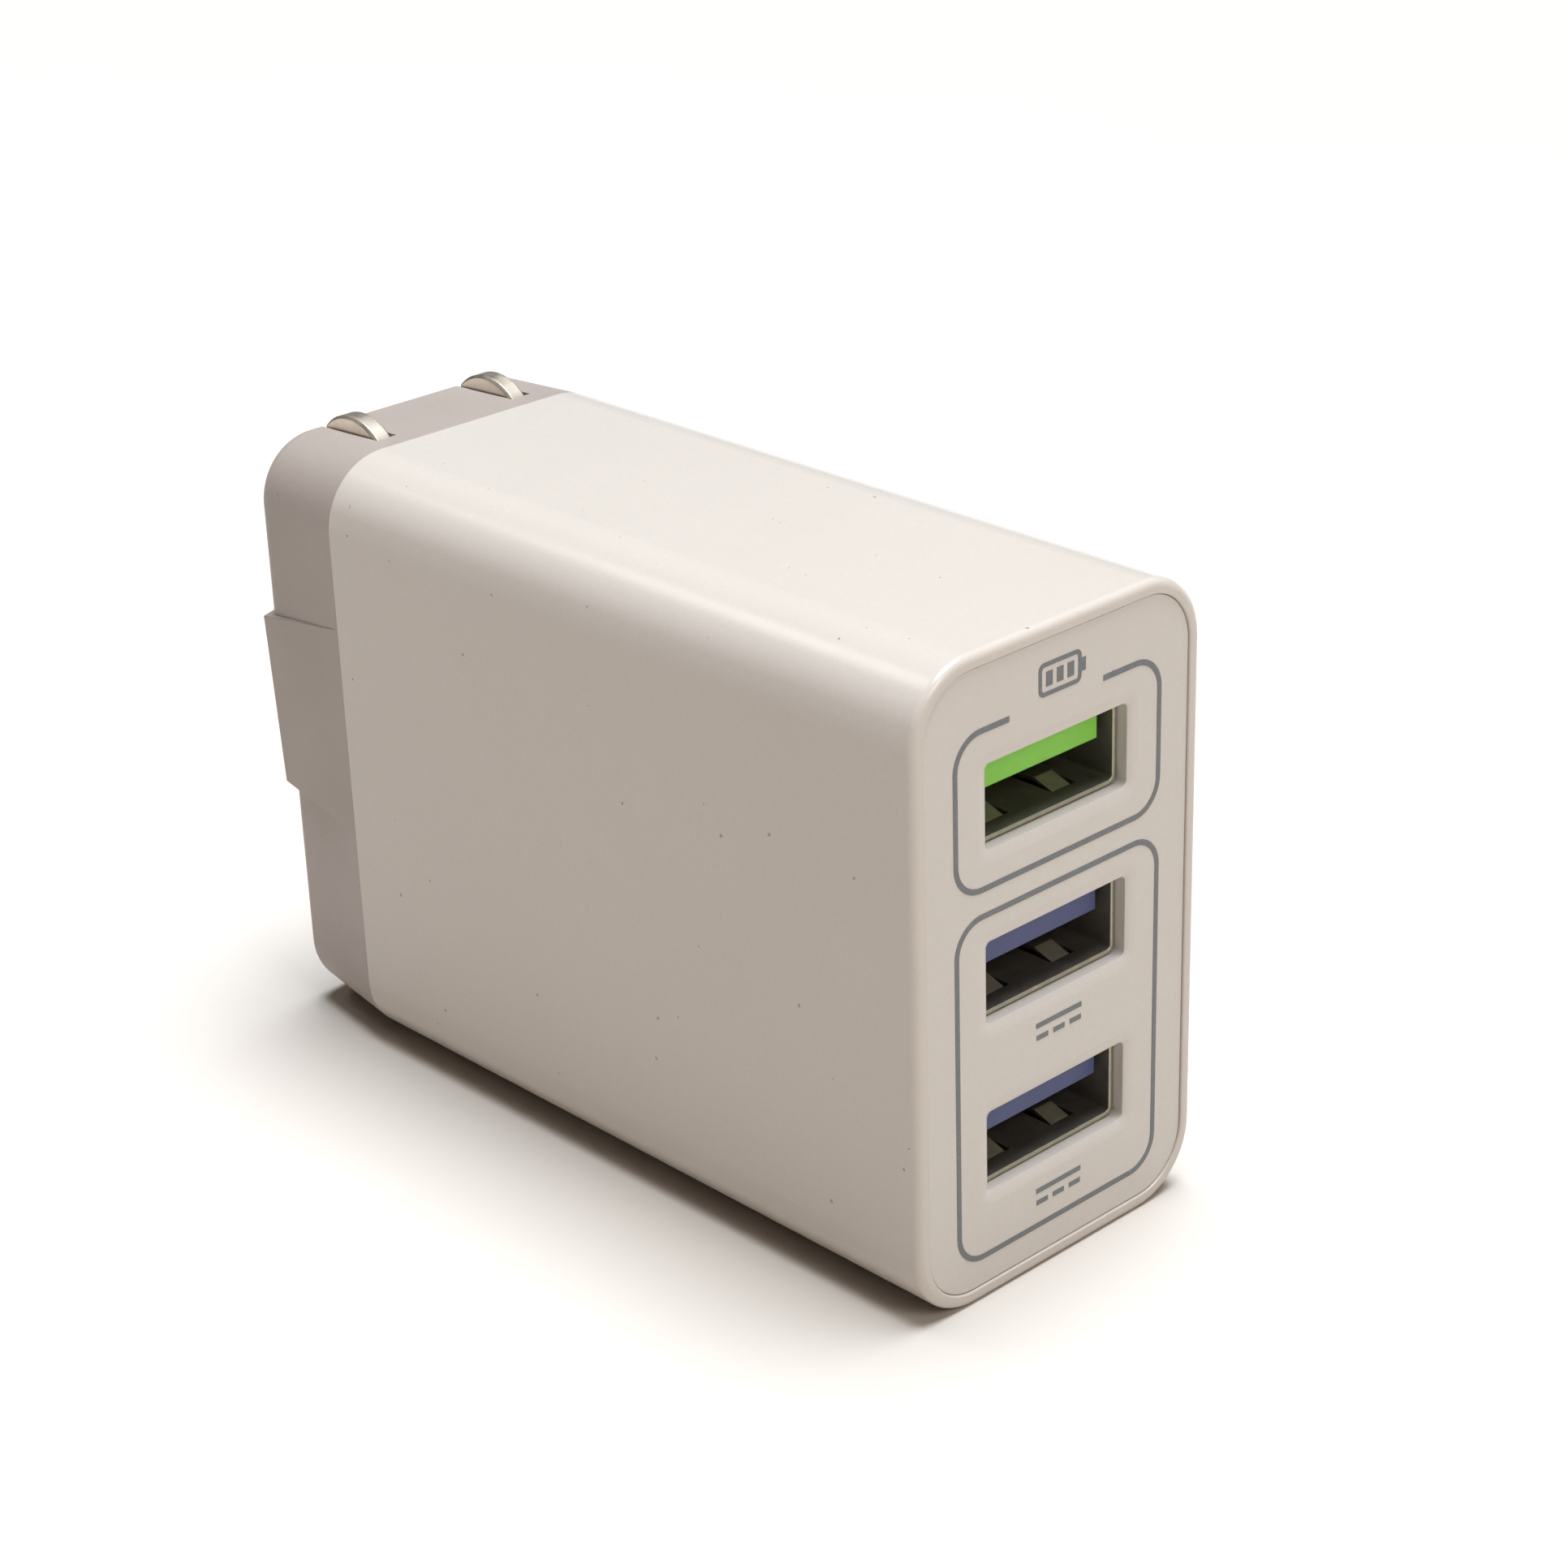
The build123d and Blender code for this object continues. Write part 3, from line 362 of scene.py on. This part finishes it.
def chip_epoxy():
    """Matt black moulding compound with faint lighter specks, partly filler and partly a painted
    glint.
    """
    f = Finish("chip_black")
    black, filler = (0.018, 0.018, 0.020), (0.09, 0.09, 0.09)
    # lighter specks of filler, brightened as a painted glint
    filler_painted_glint = f.fit(f.noise(0.1, 1.0), 0.66, 0.78, 0.0, 0.5)
    tone = f.blend(filler_painted_glint, f.vary(black, 0.2, 1.0), filler)
    normal = f.bump(f.noise(0.14), 0.02, f.rounded(0.1))
    return f.finish(Base_Color=tone, Roughness=0.58, Normal=normal)


def enamelled_wire():
    """Copper wire under clear reddish enamel."""
    f = Finish("copper_wire")
    tone = f.vary((0.55, 0.17, 0.06), 0.15, 0.8, 3.0)
    strands = f.noise(1.0, 2.0, f.stretched(0.35, 0.35, 0.35))
    return f.finish(
        Base_Color=tone,
        Metallic=0.85,
        Roughness=f.spread(strands, 0.2, 0.34),
        Coat_Weight=0.6,
        Coat_Roughness=0.1,
        Normal=f.bump(strands, 0.02, f.rounded(0.25)),
    )


def lead_sleeve():
    """Red wire insulation, slightly dusty with talc."""
    f = Finish("lead_insulation")
    red, talc_pink = (0.45, 0.022, 0.018), (0.62, 0.40, 0.38)
    talc = f.fit(f.noise(0.6, 4.0), 0.55, 0.8, 0.0, 0.25)
    tone = f.blend(talc, f.vary(red, 0.1, 2.0), talc_pink)
    return f.finish(Base_Color=tone, Roughness=0.46, Normal=f.bump(f.noise(0.8, 3.0), 0.02))


def clear_film():
    """Milky polyester film with faint waves."""
    f = Finish("insulation_film")
    tone = f.vary((0.80, 0.78, 0.69), 0.04, 6.0)
    return f.finish(
        Base_Color=tone,
        Roughness=0.28,
        Transmission_Weight=0.35,
        IOR=1.6,
        Normal=f.bump(f.noise(9.0), 0.25),
    )


FINISHES = {
    "white_plastic": moulded_plastic(
        "white_plastic", (0.590, 0.524, 0.464), roughness=0.24, grain=0.004, dusty=1.0, edge=0.16
    ),
    "panel_plastic": moulded_plastic(
        "panel_plastic", (0.600, 0.548, 0.497), roughness=0.32, grain=0.004, dusty=0.5, edge=0.06
    ),
    "print_ink": printed_ink(),
    "cover_plastic": moulded_plastic(
        "cover_plastic", (0.372, 0.310, 0.272), roughness=0.46, grain=0.010, dusty=0.3, edge=0.10
    ),
    "drum_plastic": moulded_plastic(
        "drum_plastic", (0.470, 0.415, 0.370), roughness=0.42, grain=0.010
    ),
    "inner_plastic": moulded_plastic(
        "inner_plastic", (0.030, 0.030, 0.033), roughness=0.50, grain=0.012, subsurface=0.0
    ),
    "nickel_plate": nickel_plate(),
    "shell_steel": shell_steel(),
    "spring_bronze": metal("spring_bronze", (0.62, 0.36, 0.17), 0.30, (0.1, 0.1, 3.0)),
    "spring_steel": metal("spring_steel", (0.48, 0.49, 0.50), 0.26, (0.1, 0.1, 3.0)),
    "screw_steel": metal("screw_steel", (0.56, 0.57, 0.58), 0.30, (0.3, 0.3, 0.3), grain=0.01),
    "contact_gold": metal("contact_gold", (0.86, 0.60, 0.24), 0.22, (0.2, 2.0, 0.2)),
    "green_tongue": tongue_plastic("green_tongue", (0.200, 0.555, 0.040)),
    "blue_tongue": tongue_plastic("blue_tongue", (0.047, 0.060, 0.175)),
    "lead_insulation": lead_sleeve(),
    "board_green": circuit_board(),
    "ferrite": sintered("ferrite", (0.050, 0.050, 0.054)),
    "choke_enamel": sintered("choke_enamel", (0.050, 0.200, 0.060), chips=0.3),
    "winding_tape": wound_tape(),
    "copper_wire": enamelled_wire(),
    "capacitor_sleeve": capacitor_can(),
    "film_box": glazed("film_box", (0.56, 0.36, 0.03), roughness=0.38),
    "disc_ceramic": glazed("disc_ceramic", (0.030, 0.130, 0.420), roughness=0.22),
    "fuse_body": glazed("fuse_body", (0.200, 0.070, 0.030), roughness=0.35),
    "chip_black": chip_epoxy(),
    "sink_aluminium": metal(
        "sink_aluminium", (0.70, 0.70, 0.71), 0.34, (3.0, 0.1, 0.1), grain=0.006
    ),
    "insulation_film": clear_film(),
}

for part in frame["record"]["subparts"]:
    mesh = frame["nodes"][part["node"]].data
    mesh.materials.clear()
    mesh.materials.append(FINISHES[part["material_slot"]])


# ---- Floor, light and camera ---------------------------------------------------------------------
FLOOR_HALF = 8.0  # metres
FLOOR_TONE = (0.638, 0.580, 0.525)

# The camera's place in metres, the way it looks, and its lens in millimetres on a 36 mm sensor.
CAMERA_PLACE = Vector((-0.148661, -0.167272, 0.126169))
CAMERA_AZIMUTH = math.radians(-43.045)
CAMERA_ELEVATION = math.radians(24.461)
CAMERA_ROLL = math.radians(1.88)
CAMERA_LENS = 79.12
CAMERA_SENSOR = 36.0
CAMERA_NEAR, CAMERA_FAR = 0.01, 20.0

low, high = (Vector(corner) for corner in cad_box)
middle = (low + high) / 2


def make_floor():
    """A wide pale floor at the object's foot."""
    mesh = bpy.data.meshes.new("floor")
    edge = FLOOR_HALF
    corners = [(-edge, -edge), (edge, -edge), (edge, edge), (-edge, edge)]
    mesh.from_pydata([(x, y, low.z) for x, y in corners], [], [(0, 1, 2, 3)])
    floor = bpy.data.objects.new("floor", mesh)
    bpy.context.scene.collection.objects.link(floor)
    f = Finish("floor_paper")
    tone = f.vary(FLOOR_TONE, 0.003, 60.0)
    mesh.materials.append(f.finish(Base_Color=tone, Roughness=0.9, Specular_IOR_Level=0.2))


def make_lamp(name, kind, offset, power, tint):
    """A lamp at this offset from the object's middle, aimed at it. Gives back the lamp's light."""
    light = bpy.data.lights.new(name, kind)
    light.energy = power
    light.color = tint
    lamp = bpy.data.objects.new(name, light)
    lamp.location = middle + offset
    lamp.rotation_euler = (-offset).to_track_quat("-Z", "Y").to_euler()
    bpy.context.scene.collection.objects.link(lamp)
    return light


def make_area(name, offset, size, power, tint):
    """A square soft light, this many metres across."""
    make_lamp(name, "AREA", Vector(offset), power, tint).size = size


def make_sun(name, towards, angle, power, tint):
    """A soft sun in this direction from the object, this many degrees across."""
    make_lamp(name, "SUN", Vector(towards).normalized(), power, tint).angle = math.radians(angle)


def make_world(tint, strength):
    """A dim plain surrounding."""
    world = bpy.data.worlds.new("studio")
    world.use_nodes = True
    background = world.node_tree.nodes["Background"]
    background.inputs["Color"].default_value = colour(tint)
    background.inputs["Strength"].default_value = strength
    bpy.context.scene.world = world


def make_camera():
    """The camera, with its axes built from the way it looks and then turned by its roll."""
    forward = Vector((
        -math.sin(CAMERA_AZIMUTH) * math.cos(CAMERA_ELEVATION),
        math.cos(CAMERA_AZIMUTH) * math.cos(CAMERA_ELEVATION),
        -math.sin(CAMERA_ELEVATION),
    ))
    right = forward.cross(Vector((0, 0, 1))).normalized()
    down = forward.cross(right)
    turned_right = math.cos(CAMERA_ROLL) * right + math.sin(CAMERA_ROLL) * down
    turned_down = math.cos(CAMERA_ROLL) * down - math.sin(CAMERA_ROLL) * right
    axes = Matrix((turned_right, -turned_down, -forward)).transposed()
    data = bpy.data.cameras.new("camera")
    data.lens = CAMERA_LENS
    data.sensor_width = CAMERA_SENSOR
    data.clip_start = CAMERA_NEAR
    data.clip_end = CAMERA_FAR
    camera = bpy.data.objects.new("camera", data)
    camera.matrix_world = Matrix.Translation(CAMERA_PLACE) @ axes.to_4x4()
    bpy.context.scene.collection.objects.link(camera)
    bpy.context.scene.camera = camera


make_floor()
make_world(tint=(1.0, 0.88, 0.76), strength=0.04)
make_sun("key", towards=(0.11, -0.03, 1.0), angle=36.0, power=5.72, tint=(0.855, 0.925, 1.0))
make_area("front", offset=(-0.03, -0.30, 0.22), size=0.12, power=0.34, tint=(1.0, 0.94, 0.87))
make_area(
    "back_left", offset=(-0.147, 0.434, 0.524), size=0.16, power=0.37, tint=(1.0, 0.95, 0.89)
)
make_camera()
bpy.context.scene.view_settings.view_transform = "Standard"
